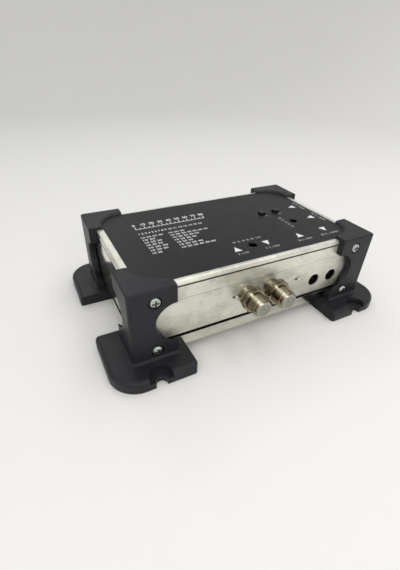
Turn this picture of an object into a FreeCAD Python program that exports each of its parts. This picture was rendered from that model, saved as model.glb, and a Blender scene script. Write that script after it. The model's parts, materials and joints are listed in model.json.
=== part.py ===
import FreeCAD, Part
import math
import os

# A television signal modulator: a shallow tinned steel box whose four corners sit in moulded brackets.
# Each bracket carries a foot with a fixing slot. Millimetres throughout.
# X runs along the front, the aerial sockets face -Y, and Z is up.
# The origin is on the table, midway between the four feet.

# Tinned box
box_length = 125.2          # along X, over the covers
box_width = 76.0            # along Y, over the covers
box_bottom = 4.9            # underside of the bottom cover above the table
box_top = 40.8              # top of the lid
box_corner = 2.4            # upright corner radius of the covers
cover_sheet = 0.4
frame_sheet = 0.5
sheet_play = 0.03           # between a cover's skirt and the side frame
lid_skirt_bottom = 31.8
lid_edge_round = 1.9
lid_groove_height = 0.6
lid_groove_depth = 0.22
bottom_edge_round = 0.8
flange_top = 11.0           # top of the bottom cover's flange
slit_height = 1.0           # open slit between that flange and the frame's ledge
ledge_depth = 1.0           # how far the frame steps in below the ledge
frame_top_play = 0.1        # below the round of the lid's edge

# Printed label on the lid
label_length = 117.5
label_width = 70.1
label_thick = 0.2
label_corner = 1.5

# Corner brackets, drawn for the left front corner from its outer upright edge
bracket_wall = 3.4
bracket_play = 0.1          # between a bracket and the box
bracket_top = 42.4
plate_play = 0.05           # between the bracket's top plate and the label
arm_x = 20.9                # reach of the front arm
arm_y = 20.4                # reach of the side arm
upright_round = 1.6
top_round = 0.9
lip_radius = 13.5           # concave inner edge of the top plate, at the label
lip_run = 2.3               # how far the lip's rounding runs outward
window_radius = 9.2         # half-round cut in each arm, centred on the arm's end
window_height = 24.0
window_bevel_width = 0.75   # sloping rim round the cut, on the outer face
window_bevel_depth = 1.4
arm_tip_round = 1.0         # corner of each arm beside the cut
undercut_radius = 7.0       # round cut that slants down inward over each lower arm
undercut_drop = 4.6         # its lowest point at the box, below the half-round cut's
undercut_slope = 1.1        # its fall for each millimetre inward
foot_out_x = 10.8           # reach beyond the side wall
foot_out_y = 10.5           # reach beyond the front wall
foot_in_x = 26.0            # reach along the front
foot_in_y = 24.7            # reach along the side
foot_top = 5.9
foot_corner = 13.0
foot_small_corner = 1.5
foot_inner_corner = 9.0
foot_round = 2.2
foot_web = 1.4              # fillet where the wall meets the foot
sole_rim = 2.4              # rim round the hollow under the foot
sole_hollow = 1.6
slot_x = 9.0                # fixing slot, from the bracket's outer side
slot_width = 5.25
slot_end = 7.5              # from the front wall to the round end of the slot
seat_radius = 5.3           # recess for the fixing screw's head
seat_end = 3.6
seat_floor = 3.2

# Bracket screws
screw_x = 11.4
screw_heights = (10.1, 36.2)
screw_head_radius = 2.45
screw_head_height = 1.9
screw_shank_radius = 1.45
screw_length = 8.2          # under the head
screw_edge_share = 0.45     # upright part of the head's height, below its dome
screw_point_radius = 0.3
screw_recess_radius = 2.9
screw_recess_depth = 1.3
screw_hole_play = 0.15
cross_length = 3.0
cross_width = 0.7
cross_depth = 1.1

# Aerial sockets, threaded coaxial, on the front
aerial_x = (-8.4, 5.4)
aerial_height = 24.8
aerial_reach = 13.9         # nose beyond the box's front
aerial_radius = 4.7
aerial_pitch_radius = 4.45  # under the washer and nut, where the two threads share the room
aerial_rear_radius = 4.3
aerial_nose_radius = 4.35
aerial_face_radius = 3.7
aerial_bore_radius = 3.3
aerial_hex_gap = 3.0        # from the box's front to the solid hexagon
aerial_shoulder = 2.0       # length of the narrower end
aerial_shoulder_chamfer = 0.35
aerial_tip = 0.7            # length of the slope round the nose
aerial_hex_thick = 1.6
aerial_flange_radius = 5.4
aerial_flange_thick = 1.2
hex_across = 11.0
hex_bevel = 0.6
washer_radius = 5.9
washer_thick = 0.7
washer_teeth = 16
nut_thick = 2.0
thread_play = 0.03
insulator_recess = 0.15
contact_radius = 0.95
contact_bore_radius = 0.5
contact_bore_depth = 9.0
lead_radius = 0.4
lead_setback = 2.0          # lead's turn behind the insulator
socket_depth_inside = 6.0   # aerial socket's reach behind the front sheet

# Power sockets on the front
power_x = (34.3, 46.0)
power_height = 20.15
power_hole_radius = 3.4
power_bore_radius = 3.15
power_bore_depth = 9.6
power_block_width = 9.0
power_block_height = 10.8
power_block_depth = 14.2
power_pin_radius = 1.0
power_pin_setback = 1.2     # pin's tip behind the front sheet
power_pin_round = 0.5
power_pin_root_radius = 1.3     # inside the block
power_spring_setback = 2.0
power_spring_width = 2.4
power_spring_thick = 0.3

# Picture and sound sockets on the right side
phono_setback = (28.4, 44.8)    # behind the box's front
phono_height = 24.8
phono_radius = 4.15
phono_hole_radius = 4.8
phono_reach = 8.6           # beyond the right side sheet
phono_core_radius = 3.35
phono_bore_radius = 1.6
phono_contact_wall = 0.3
phono_contact_depth = 5.4   # contact's reach behind the side sheet
phono_contact_recess = 0.6
phono_core_recess = 0.5
phono_rim_round = 0.4
phono_block_width = 10.0
phono_block_depth = 9.0
phono_flange_radius = 4.7
phono_flange_thick = 0.8

# Boards
board_thick = 1.6
board_edge_play = 0.3
post_radius = 2.75
left_post_inset = (12.6, 12.0)      # from the box's left side, and from its front or back
back_post = (20.0, 9.0)             # X, and distance from the box's back
right_post_inset = (8.6, 19.5)      # from the box's right side and its front
post_screw_radius = 1.25
post_head_radius = 2.5
post_head_height = 1.4
post_head_round = 0.4
driver_slot_width = 0.7
driver_slot_depth = 0.6
top_board_gap = 15.5        # from the main board up to the control board
top_board_play = 0.75       # beside the radio section's shield
top_board_right = 47.0
top_board_setback = (22.5, 50.5)    # behind the box's front
top_board_thick = 1.2
pillar_radius = 1.9
pillar_inset = 2.6
header_pin_count = 5
header_pitch = 2.54
header_pin_width = 0.64

# Push buttons
button_x = (28.5, 38.0)
button_setback = 43.5       # behind the box's front
button_hole_radius = 2.4
button_travel = 0.4
button_cap_radius = 1.95
button_cap_thick = 0.9
button_cap_round = 0.3
button_proud = 1.4          # top of the cap above the label
button_stem_radius = 1.5
button_guide_play = 0.08
button_collar_radius = 2.1
button_collar_thick = 0.7
switch_size = 6.0
switch_height = 3.6
switch_roof_play = 0.02     # between the collar at rest and the switch's roof
dome_rise = 0.3
stop_gap = 0.05             # left under the stem at the end of its travel

# Trimmers under the lid
level_trimmer = (2.2, 14.1)         # X, and distance behind the box's front
picture_trimmer = (39.0, 28.5)
trimmer_hole_radius = 2.2
trimmer_size = 6.4
trimmer_height = 4.2
trimmer_chamfer = 0.4
trimmer_floor = 0.6
rotor_radius = 2.0
rotor_head_height = 1.6
rotor_sink = 0.8            # depth of the head's seat in the housing
rotor_round = 0.3
rotor_pivot_radius = 1.0
rotor_play = 0.08           # round the head and the pivot
rotor_seat_play = 0.05      # under the head
rotor_floor_play = 0.1      # under the pivot
rotor_slot_width = 0.6
rotor_slot_depth = 0.8

# Radio section's shield, with two tabs twisted over the front sheet
shield_x = (-14.3, 22.4)
shield_depth = 46.0         # from the box's front to the shield's back
shield_sheet = 0.5
shield_top_play = 1.0
tab_height = 24.1
tab_rise = 1.0
tab_fold = 1.1              # length of the folded tip along the front sheet
tab_slot_length = 3.2
tab_slot_rise = 1.3

# Parts on the main board
chip_size = (12.0, 12.0, 2.0)
chip_place = (4.0, 30.0)            # X, and distance behind the box's front
chip_lift = 0.15
chip_leg_count = 11
chip_leg_pitch = 0.9
chip_leg_width = 0.4
chip_leg_thick = 0.25
chip_leg_reach = 1.0
control_chip_size = (9.0, 5.4, 1.8)
control_chip_inset = (5.8, 5.8)     # its middle, from the control board's left and front edges
crystal_size = (10.4, 4.0, 3.4)
crystal_place = (-4.0, 40.5)
can_radius = 4.0
can_height = 11.5
can_round = 0.6
can_crimp_height = 1.6
can_crimp_width = 0.8
can_crimp_depth = 0.35
front_cans = ((34.0, 20.2), (-20.0, 8.0))
back_cans = ((33.0, 15.0), (-20.0, 18.0))       # X, and distance from the box's back
choke_radius = 5.0
choke_height = 7.0
choke_flange = 1.2
choke_wind_depth = 1.4
choke_wire = 0.55
choke_place = (-32.0, 11.0)
heat_sink_length = 30.0
heat_sink_height = 17.0
heat_sink_base = 2.4
heat_sink_fin_depth = 9.0
heat_sink_fins = 7
heat_sink_fin_thick = 1.1
heat_sink_place = (-40.0, 26.0)     # X, and distance of its face from the box's back
regulator_body = (10.2, 4.5, 9.0)
regulator_tab_height = 6.2
regulator_tab_thick = 1.2
regulator_leg_length = 4.0
regulator_leg_pitch = 2.54
regulator_leg_width = 0.8
regulator_leg_thick = 0.6
regulator_leg_setback = 2.1         # from the heat sink's face

# Heights and half sizes that follow
origin = FreeCAD.Vector(0, 0, 0)
x_dir = FreeCAD.Vector(1, 0, 0)
y_dir = FreeCAD.Vector(0, 1, 0)
z_dir = FreeCAD.Vector(0, 0, 1)
half_x = box_length / 2
half_y = box_width / 2
body_x = half_x + bracket_play + bracket_wall
body_y = half_y + bracket_play + bracket_wall
frame_x = half_x - cover_sheet - sheet_play
frame_y = half_y - cover_sheet - sheet_play
frame_bottom = box_bottom + cover_sheet
frame_top = box_top - lid_edge_round - frame_top_play
ledge_height = flange_top + slit_height
label_top = box_top + label_thick
plate_underside = label_top + plate_play
board_bottom = ledge_height + frame_sheet
board_top = board_bottom + board_thick
top_board_bottom = board_top + top_board_gap
top_board_top = top_board_bottom + top_board_thick
board_x = frame_x - frame_sheet - board_edge_play
board_y = frame_y - frame_sheet - board_edge_play
post_places = ((left_post_inset[0] - half_x, left_post_inset[1] - half_y),
               (left_post_inset[0] - half_x, half_y - left_post_inset[1]),
               (back_post[0], half_y - back_post[1]),
               (half_x - right_post_inset[0], right_post_inset[1] - half_y))
top_board_x = (shield_x[1] + shield_sheet / 2 + top_board_play, top_board_right)
top_board_y = [distance - half_y for distance in top_board_setback]
phono_y = [distance - half_y for distance in phono_setback]
button_y = button_setback - half_y
aerial_hex_start = half_y + aerial_hex_gap      # distances of the hexagon and the nose from the centre
aerial_nose = half_y + aerial_reach
over = 1.0                  # how far a cutting shape runs past what it cuts
skim = 0.02                 # how far a trimming shape stands off the corners that it leaves alone


def vec(x, y, z):
    return FreeCAD.Vector(x, y, z)


def block(x0, x1, y0, y1, z0, z1):
    return Part.makeBox(x1 - x0, y1 - y0, z1 - z0, vec(x0, y0, z0))


def rod(radius, length, base, direction=z_dir):
    return Part.makeCylinder(radius, length, base, direction)


def tube(outer, inner, length, base, direction=z_dir):
    solid = rod(outer, length, base, direction)
    return solid.cut(rod(inner, length + 2 * over, base - direction * over, direction))


def moved(shape, x, y, z):
    copy = shape.copy()
    copy.translate(vec(x, y, z))
    return copy


def behind_front(place):
    """X and Y of a place given by X and the distance behind the box's front."""
    return place[0], place[1] - half_y


def before_back(place):
    """X and Y of a place given by X and the distance from the box's back."""
    return place[0], half_y - place[1]


def joined(shapes):
    whole = shapes[0]
    for shape in shapes[1:]:
        whole = whole.fuse(shape)
    return whole.removeSplitter()


def group(shapes):
    solids = []
    for shape in shapes:
        solids.extend(shape.Solids)
    return Part.makeCompound(solids)


def rounded_outline(x0, x1, y0, y1, z, radii):
    """A closed wire round a rectangle, with one radius per corner from (x0, y0) anticlockwise."""
    corners = ((x0, y0, 180), (x1, y0, 270), (x1, y1, 0), (x0, y1, 90))
    arcs = []
    for (x, y, start), radius in zip(corners, radii):
        centre_x = x + (radius if x == x0 else -radius)
        centre_y = y + (radius if y == y0 else -radius)
        angles = [math.radians(start + turn) for turn in (0, 45, 90)]
        arcs.append([vec(centre_x + radius * math.cos(angle), centre_y + radius * math.sin(angle), z)
                     for angle in angles])
    edges = []
    for index, points in enumerate(arcs):
        if radii[index] > 0:
            edges.append(Part.Arc(*points).toShape())
        following = arcs[(index + 1) % 4][0]
        if points[2].distanceToPoint(following) > 1e-6:
            edges.append(Part.LineSegment(points[2], following).toShape())
    return Part.Wire(edges)


def rounded_block(x0, x1, y0, y1, z0, z1, radii):
    outline = rounded_outline(x0, x1, y0, y1, z0, radii)
    return Part.Face(outline).extrude(vec(0, 0, z1 - z0))


def centred_block(half_length, half_width, z0, z1, corner):
    return rounded_block(-half_length, half_length, -half_width, half_width, z0, z1, (corner,) * 4)


def edges_at(shape, test):
    """The edges whose every vertex and middle point pass the test."""
    found = []
    for edge in shape.Edges:
        middle = edge.valueAt((edge.FirstParameter + edge.LastParameter) / 2)
        points = [vertex.Point for vertex in edge.Vertexes] + [middle]
        if all(test(point) for point in points):
            found.append(edge)
    return found


def near(a, b):
    return abs(a - b) < 1e-4


def turned(profile, base, axis):
    """A solid of revolution from a closed list of points."""
    wire = Part.makePolygon(list(profile) + [profile[0]])
    return Part.Face(wire).revolve(base, axis, 360)


def to_corner(shape, side_x, side_y):
    """Takes a shape drawn from the left front bracket's outer edge to the corner on the given sides."""
    placed = moved(shape, -body_x, -body_y, 0)
    if side_x > 0:
        placed = placed.mirror(origin, x_dir)
    if side_y > 0:
        placed = placed.mirror(origin, y_dir)
    return placed


# Tinned box: lid, label, side frame, bottom cover

def lid_openings():
    """Tools for the holes that the lid and its label share."""
    places = [(x, button_y, button_hole_radius) for x in button_x]
    places += [(*behind_front(place), trimmer_hole_radius) for place in (level_trimmer, picture_trimmer)]
    bottom = box_top - cover_sheet - over
    return [rod(radius, label_top + over - bottom, vec(x, y, bottom)) for x, y, radius in places]


def side_screw_tools(radius):
    """Rods along Y through the front and back walls, where the bracket screws go in."""
    tools = []
    for side in (-1, 1):
        for height in screw_heights:
            x = side * (body_x - screw_x)
            tools.append(rod(radius, 2 * body_y, vec(x, -body_y, height), y_dir))
    return tools


def lid():
    shell = centred_block(half_x, half_y, lid_skirt_bottom, box_top, box_corner)
    shell = shell.makeFillet(lid_edge_round, edges_at(shell, lambda p: near(p.z, box_top)))
    inner_x, inner_y = half_x - cover_sheet, half_y - cover_sheet
    hollow = centred_block(inner_x, inner_y, lid_skirt_bottom - over, box_top - cover_sheet,
                           box_corner - cover_sheet)
    inner_round = lid_edge_round - cover_sheet
    hollow = hollow.makeFillet(inner_round, edges_at(hollow, lambda p: near(p.z, box_top - cover_sheet)))
    groove_top = box_top - lid_edge_round
    ring = centred_block(half_x + over, half_y + over, groove_top - lid_groove_height, groove_top, box_corner)
    core = centred_block(half_x - lid_groove_depth, half_y - lid_groove_depth,
                         groove_top - lid_groove_height - over, groove_top + over,
                         box_corner - lid_groove_depth)
    shell = shell.cut(hollow).cut(ring.cut(core))
    return shell.cut(lid_openings() + side_screw_tools(screw_shank_radius))


def label_panel():
    sheet = centred_block(label_length / 2, label_width / 2, box_top, label_top, label_corner)
    return sheet.cut(lid_openings())


def frame_ring(outer_inset, inner_inset, z0, z1):
    """A wall all round, between two insets from the side frame's outer faces."""
    corner = box_corner - cover_sheet
    outer = centred_block(frame_x - outer_inset, frame_y - outer_inset, z0, z1, corner)
    inner = centred_block(frame_x - inner_inset, frame_y - inner_inset, z0 - over, z1 + over, corner)
    return outer.cut(inner)


def front_openings():
    tools = [rod(aerial_rear_radius, 4 * over, vec(x, -frame_y - 2 * over, aerial_height), y_dir)
             for x in aerial_x]
    tools += [rod(power_hole_radius, 4 * over, vec(x, -frame_y - 2 * over, power_height), y_dir)
              for x in power_x]
    for x in shield_x:
        tools.append(block(x - tab_slot_length / 2, x + tab_slot_length / 2, -frame_y - over, -frame_y + over,
                           tab_height - tab_slot_rise / 2, tab_height + tab_slot_rise / 2))
    return tools


def right_openings():
    return [rod(phono_hole_radius, 4 * over, vec(frame_x - 2 * over, y, phono_height), x_dir)
            for y in phono_y]


def side_frame():
    upper = frame_ring(0, frame_sheet, ledge_height, frame_top)
    ledge = frame_ring(0, ledge_depth + frame_sheet, ledge_height, ledge_height + frame_sheet)
    lower = frame_ring(ledge_depth, ledge_depth + frame_sheet, frame_bottom, ledge_height + frame_sheet)
    walls = joined([upper, ledge, lower])
    return walls.cut(front_openings() + right_openings() + side_screw_tools(screw_shank_radius))


def bottom_cover():
    tray = centred_block(half_x, half_y, box_bottom, flange_top, box_corner)
    tray = tray.makeFillet(bottom_edge_round, edges_at(tray, lambda p: near(p.z, box_bottom)))
    hollow = centred_block(half_x - cover_sheet, half_y - cover_sheet, frame_bottom, flange_top + over,
                           box_corner - cover_sheet)
    holes = [rod(post_screw_radius, 4 * over, vec(x, y, box_bottom - over)) for x, y in post_places]
    return tray.cut(hollow).cut(holes + side_screw_tools(screw_shank_radius))


# Corner brackets and their screws

def lip_cutter():
    """Rounds the top plate's concave inner edge, from the label up to the plate's top."""
    rise = bracket_top - plate_underside
    centre = vec(arm_x, arm_y, 0)
    low = vec(arm_x - lip_radius, arm_y, plate_underside)
    high = vec(arm_x - lip_radius - lip_run, arm_y, bracket_top)
    middle = low + vec(-lip_run * (1 - math.cos(math.pi / 4)), 0, rise * math.sin(math.pi / 4))
    edges = [Part.Arc(low, middle, high).toShape()]
    corners = [high, vec(high.x, arm_y, bracket_top + over), vec(arm_x, arm_y, bracket_top + over),
               vec(arm_x, arm_y, plate_underside - over), vec(low.x, arm_y, plate_underside - over), low]
    for start, end in zip(corners, corners[1:]):
        edges.append(Part.LineSegment(start, end).toShape())
    return Part.Face(Part.Wire(edges)).revolve(centre, z_dir, 360)


def window_tools():
    """The half-round cuts that leave an upper and a lower arm on the front and the side."""
    length = bracket_wall + 2 * over
    return [rod(window_radius, length, vec(arm_x, -over, window_height), y_dir),
            rod(window_radius, length, vec(-over, arm_y, window_height), x_dir)]


def window_bevels():
    """Cones that break the outer edges of the half-round cuts."""
    wide = window_radius + window_bevel_width
    return [Part.makeCone(wide, window_radius, window_bevel_depth, vec(arm_x, 0, window_height), y_dir),
            Part.makeCone(wide, window_radius, window_bevel_depth, vec(0, arm_y, window_height), x_dir)]


def undercuts():
    """Slanting round cuts, so that the upper edges of the lower arms fall away towards the box."""
    lowest = window_height - window_radius - undercut_drop
    start = lowest + undercut_radius + (bracket_wall + over) * undercut_slope
    length = bracket_wall + 2 * over
    fall = -length * undercut_slope
    cuts = []
    for centre, inward in ((vec(arm_x, -over, start), y_dir), (vec(-over, arm_y, start), x_dir)):
        outline = Part.Wire(Part.Circle(centre, inward, undercut_radius).toShape())
        cuts.append(Part.Face(outline).extrude(inward * length + vec(0, 0, fall)))
    return cuts


def foot_pad(inset, small_corner, z0, z1):
    radii = (foot_corner - inset, small_corner, foot_inner_corner - inset, small_corner)
    return rounded_block(-foot_out_x + inset, foot_in_x - inset, -foot_out_y + inset, foot_in_y - inset,
                         z0, z1, radii)


def foot():
    """The foot, rounded along its two outer sides and the corner between them, hollow underneath."""
    pad = foot_pad(0, 0, 0, foot_top)
    upper_rim = edges_at(pad, lambda p: near(p.z, foot_top))
    outer_sides = [edge for edge in upper_rim
                   if near(edge.BoundBox.XMax, -foot_out_x) or near(edge.BoundBox.YMax, -foot_out_y)]
    pad = pad.makeFillet(foot_round, outer_sides).common(foot_pad(0, foot_small_corner, 0, foot_top))
    slot_radius = slot_width / 2
    boss = rod(slot_radius + sole_rim, sole_hollow + 2 * over, vec(slot_x, -slot_end - slot_radius, -over))
    return pad.cut(foot_pad(sole_rim, 0, -over, sole_hollow).cut(boss))


def slot_tools():
    """The fixing slot through the foot, and the recess above it for the screw's head."""
    slot_radius = slot_width / 2
    slot_y = -slot_end - slot_radius
    seat_y = -seat_end - seat_radius
    front = -foot_out_y - over
    return [rod(slot_radius, foot_top + 2 * over, vec(slot_x, slot_y, -over)),
            block(slot_x - slot_radius, slot_x + slot_radius, front, slot_y, -over, foot_top + over),
            rod(seat_radius, foot_top, vec(slot_x, seat_y, seat_floor)),
            block(slot_x - seat_radius, slot_x + seat_radius, front, seat_y, seat_floor, foot_top + over)]


def arm_tips(column):
    """The corners of both arms beside the half-round cuts."""
    tips = []
    for height in (window_height - window_radius, window_height + window_radius):
        tips += edges_at(column, lambda p: near(p.z, height) and (near(p.x, arm_x) or near(p.y, arm_y)))
    return tips


def box_pocket():
    """The room for the box's corner: round where the box is round, and flat on its floor."""
    pocket = block(bracket_wall, foot_in_x + over, bracket_wall, foot_in_y + over,
                   box_bottom, plate_underside)
    upright = edges_at(pocket, lambda p: near(p.x, bracket_wall) and near(p.y, bracket_wall))
    pocket = pocket.makeFillet(box_corner + bracket_play, upright)
    rim = edges_at(pocket, lambda p: near(p.z, plate_underside) and (near(p.x, bracket_wall)
                                                                    or near(p.y, bracket_wall)))
    return pocket.makeFillet(lid_edge_round + bracket_play, rim)


def bracket():
    column = block(0, arm_x, 0, arm_y, 0, bracket_top)
    column = column.makeFillet(upright_round, edges_at(column, lambda p: near(p.x, 0) and near(p.y, 0)))
    on_rim = edges_at(column, lambda p: near(p.z, bracket_top) and (p.x < upright_round + 0.01
                                                                    or p.y < upright_round + 0.01))
    outer_rim = [edge for edge in on_rim if edge.BoundBox.XMin < 0.01 or edge.BoundBox.YMin < 0.01]
    column = column.makeFillet(top_round, outer_rim)
    column = column.cut(window_tools())
    column = column.makeFillet(arm_tip_round, arm_tips(column))
    whole = column.fuse(foot()).removeSplitter()
    base_line = edges_at(whole, lambda p: near(p.z, foot_top) and -0.01 < min(p.x, p.y) < upright_round)
    base_line = [edge for edge in base_line if edge.BoundBox.XMax < arm_x + 0.01
                 and edge.BoundBox.YMax < arm_y + 0.01]
    whole = whole.makeFillet(foot_web, base_line)
    holes = []
    for height in screw_heights:
        holes.append(rod(screw_shank_radius + screw_hole_play, bracket_wall + 2 * over,
                         vec(screw_x, -over, height), y_dir))
        holes.append(rod(screw_recess_radius, screw_recess_depth + over, vec(screw_x, -over, height), y_dir))
    return whole.cut([box_pocket(), lip_cutter()] + window_bevels() + undercuts() + slot_tools() + holes)


def bracket_screw():
    """A cross-recessed pan head screw along Y, its head's seat at the origin."""
    edge = screw_head_height * screw_edge_share
    dome = [vec(0, 0, 0), vec(screw_head_radius, 0, 0), vec(screw_head_radius, -edge, 0)]
    for turn in (30, 55):
        angle = math.radians(turn)
        dome.append(vec(screw_head_radius * math.cos(angle),
                        -edge - (screw_head_height - edge) * math.sin(angle), 0))
    dome.append(vec(0, -screw_head_height, 0))
    head = turned(dome, origin, y_dir)
    shank = turned([vec(0, 0, 0), vec(screw_shank_radius, 0, 0),
                    vec(screw_shank_radius, screw_length - screw_shank_radius, 0),
                    vec(screw_point_radius, screw_length, 0), vec(0, screw_length, 0)], origin, y_dir)
    cross = [block(-cross_length / 2, cross_length / 2, -screw_head_height - over,
                   cross_depth - screw_head_height, -cross_width / 2, cross_width / 2),
             block(-cross_width / 2, cross_width / 2, -screw_head_height - over,
                   cross_depth - screw_head_height, -cross_length / 2, cross_length / 2)]
    return head.fuse(shank).removeSplitter().cut(cross)


def bracket_screws(side_y):
    screw = bracket_screw()
    placed = []
    for side_x in (-1, 1):
        for height in screw_heights:
            placed.append(to_corner(moved(screw, screw_x, screw_recess_depth, height), side_x, side_y))
    return group(placed)


# Aerial sockets

def hexagon(distance, thick, bevel, x):
    """A hexagonal prism round an aerial socket's axis, from the given distance out, flat side up."""
    across_corners = hex_across / math.sqrt(3)
    points = []
    for index in range(7):
        angle = math.radians(60 * index)
        points.append(vec(x + across_corners * math.cos(angle), -distance,
                          aerial_height + across_corners * math.sin(angle)))
    prism = Part.Face(Part.makePolygon(points)).extrude(vec(0, -thick, 0))
    rim = across_corners - bevel
    widest = across_corners + skim
    profile = [vec(x, -distance, aerial_height), vec(x + rim, -distance, aerial_height),
               vec(x + widest, -distance - bevel, aerial_height),
               vec(x + widest, -distance - thick + bevel, aerial_height),
               vec(x + rim, -distance - thick, aerial_height), vec(x, -distance - thick, aerial_height)]
    return prism.common(turned(profile, vec(x, 0, aerial_height), y_dir))


def nut_front():
    """Distance of the nut's front face from the centre plane."""
    return aerial_hex_start + aerial_hex_thick + washer_thick + nut_thick


def aerial_barrel(x):
    wall = frame_y - frame_sheet
    shoulder = aerial_nose - aerial_shoulder
    tip = aerial_nose - aerial_tip
    radii = [(0, wall - socket_depth_inside), (aerial_rear_radius, wall - socket_depth_inside),
             (aerial_rear_radius, wall - aerial_flange_thick),
             (aerial_flange_radius, wall - aerial_flange_thick), (aerial_flange_radius, wall),
             (aerial_rear_radius, wall), (aerial_rear_radius, aerial_hex_start),
             (aerial_pitch_radius, aerial_hex_start), (aerial_pitch_radius, nut_front()),
             (aerial_radius, nut_front()), (aerial_radius, shoulder),
             (aerial_nose_radius, shoulder + aerial_shoulder_chamfer), (aerial_nose_radius, tip),
             (aerial_face_radius, aerial_nose), (0, aerial_nose)]
    profile = [vec(x + radius, -distance, aerial_height) for radius, distance in radii]
    body = turned(profile, vec(x, 0, aerial_height), y_dir)
    body = body.fuse(hexagon(aerial_hex_start, aerial_hex_thick, hex_bevel / 2, x)).removeSplitter()
    start = wall - socket_depth_inside - over
    bore = rod(aerial_bore_radius, aerial_nose - start + over, vec(x, -start, aerial_height), -y_dir)
    return body.cut(bore)


def aerial_washer(x):
    start = aerial_hex_start + aerial_hex_thick
    disc = rod(washer_radius, washer_thick, vec(x, -start, aerial_height), -y_dir)
    notch = []
    for index in range(washer_teeth):
        angle = math.radians(360 * (index + 0.5) / washer_teeth)
        notch.append(rod(washer_radius / washer_teeth, washer_thick + 2 * over,
                         vec(x + washer_radius * math.cos(angle), -start + over,
                             aerial_height + washer_radius * math.sin(angle)), -y_dir))
    hole = rod(aerial_pitch_radius + thread_play, washer_thick + 2 * over,
               vec(x, -start + over, aerial_height), -y_dir)
    return disc.cut(notch + [hole])


def aerial_nut(x):
    start = nut_front() - nut_thick
    hole = rod(aerial_pitch_radius + thread_play, nut_thick + 2 * over,
               vec(x, -start + over, aerial_height), -y_dir)
    return hexagon(start, nut_thick, hex_bevel, x).cut(hole)


def aerial_insulator(x):
    start = frame_y - frame_sheet - socket_depth_inside
    length = aerial_nose - insulator_recess - start
    core = rod(aerial_bore_radius, length, vec(x, -start, aerial_height), -y_dir)
    return core.cut(rod(contact_radius, length + 2 * over, vec(x, -start + over, aerial_height), -y_dir))


def aerial_contact(x):
    """The centre contact: a split tube to the front, and a lead that turns down to the board."""
    start = frame_y - frame_sheet - socket_depth_inside
    front = aerial_nose - insulator_recess
    lead_y = start - lead_setback
    sleeve = rod(contact_radius, front - start, vec(x, -start, aerial_height), -y_dir)
    bore = rod(contact_bore_radius, contact_bore_depth + over,
               vec(x, -front + contact_bore_depth, aerial_height), -y_dir)
    tail = rod(lead_radius, start - lead_y + lead_radius,
               vec(x, -lead_y + lead_radius, aerial_height), -y_dir)
    drop = rod(lead_radius, aerial_height - board_top, vec(x, -lead_y, board_top))
    return sleeve.cut(bore).fuse(tail).fuse(drop).removeSplitter()


# Power sockets

def power_block(x):
    front = -frame_y + frame_sheet
    body = block(x - power_block_width / 2, x + power_block_width / 2, front, front + power_block_depth,
                 board_top, board_top + power_block_height)
    bore = rod(power_bore_radius, power_bore_depth + over, vec(x, front - over, power_height), y_dir)
    pin_hole = rod(power_pin_root_radius, power_block_depth + 2 * over, vec(x, front, power_height), y_dir)
    spring_slot = block(x - power_spring_width / 2, x + power_spring_width / 2,
                        front + power_spring_setback, front + power_block_depth + over,
                        power_height - power_bore_radius - power_spring_thick,
                        power_height - power_bore_radius + power_spring_thick)
    return body.cut([bore, pin_hole, spring_slot])


def power_pin(x):
    """The centre pin, on a thicker root that fills the hole behind the bore."""
    tip = -frame_y + power_pin_setback
    floor = -frame_y + frame_sheet + power_bore_depth
    back = -frame_y + frame_sheet + power_block_depth
    shaft = rod(power_pin_radius, floor - tip, vec(x, tip, power_height), y_dir)
    shaft = shaft.makeFillet(power_pin_round, edges_at(shaft, lambda p: near(p.y, tip)))
    root = rod(power_pin_root_radius, back - floor, vec(x, floor, power_height), y_dir)
    return shaft.fuse(root).removeSplitter()


def power_spring(x):
    """The leaf contact in the floor of the socket's bore, with its tail down to the board."""
    front = -frame_y + frame_sheet
    back = front + power_block_depth
    low = power_height - power_bore_radius - power_spring_thick
    leaf = block(x - power_spring_width / 2, x + power_spring_width / 2, front + power_spring_setback,
                 back + power_spring_thick, low, low + power_spring_thick)
    tail = block(x - power_spring_width / 2, x + power_spring_width / 2, back, back + power_spring_thick,
                 board_top, low + power_spring_thick)
    return leaf.fuse(tail).removeSplitter()


# Picture and sound sockets

def phono_shell(y):
    sheet = frame_x - frame_sheet
    length = phono_reach + frame_sheet
    shell = rod(phono_radius, length, vec(sheet, y, phono_height), x_dir)
    shell = shell.makeFillet(phono_rim_round, edges_at(shell, lambda p: near(p.x, sheet + length)))
    flange = rod(phono_flange_radius, phono_flange_thick, vec(sheet, y, phono_height), x_dir)
    bore = rod(phono_core_radius, length + 2 * over, vec(sheet - over, y, phono_height), x_dir)
    return shell.fuse(flange).removeSplitter().cut(bore)


def phono_insulator(y):
    """The coloured core, with a block behind the side sheet that stands on the board."""
    sheet = frame_x - frame_sheet
    core = rod(phono_core_radius, phono_reach + frame_sheet - phono_core_recess,
               vec(sheet, y, phono_height), x_dir)
    half = phono_block_width / 2
    base = block(sheet - phono_block_depth, sheet, y - half, y + half, board_top, phono_height + half)
    bore = rod(phono_bore_radius + phono_contact_wall, phono_reach + frame_sheet + phono_contact_depth,
               vec(sheet - phono_contact_depth, y, phono_height), x_dir)
    return core.fuse(base).removeSplitter().cut(bore)


def phono_contact(y):
    start = frame_x - frame_sheet - phono_contact_depth
    length = phono_contact_depth + phono_reach - phono_contact_recess
    return tube(phono_bore_radius + phono_contact_wall, phono_bore_radius, length,
                vec(start, y, phono_height), x_dir)


# Boards, posts and screws

def main_board():
    plate = centred_block(board_x, board_y, board_bottom, board_top, box_corner / 2)
    holes = [rod(post_screw_radius, board_thick + 2 * over, vec(x, y, board_bottom - over))
             for x, y in post_places]
    return plate.cut(holes)


def board_posts():
    posts = []
    for x, y in post_places:
        post = rod(post_radius, board_bottom - frame_bottom, vec(x, y, frame_bottom))
        posts.append(post.cut(rod(post_screw_radius, board_bottom, vec(x, y, 0))))
    return group(posts)


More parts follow.
